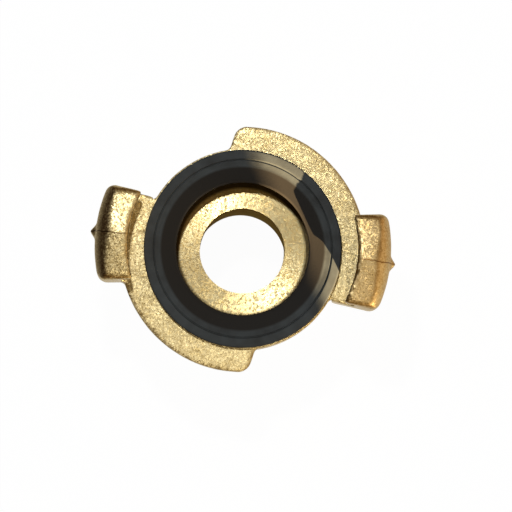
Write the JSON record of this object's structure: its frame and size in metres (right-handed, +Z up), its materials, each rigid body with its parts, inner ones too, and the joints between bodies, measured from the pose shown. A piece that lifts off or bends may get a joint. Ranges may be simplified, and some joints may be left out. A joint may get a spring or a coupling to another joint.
{
  "type": "suction hose coupling",
  "caption": "Hose coupling half with hooked claws on a cam flange, a lipped rubber seal ring in its face and a barbed hose tail.",
  "frame": {"origin": "centre of the flat end of the hose tail, on the coupling's axis", "axes": "+Z runs up the axis from the hose tail to the claws, and +X points to the middle of one claw"},
  "size_m": [0.0536, 0.043, 0.0588],
  "materials": {
    "blasted_brass": "hot forged and shot blasted, with turned faces",
    "black_rubber": "moulded, satin"
  },
  "bodies": {
    "root": {"coupling_body": "blasted_brass", "seal_ring": "black_rubber"}
  },
  "joints": []
}
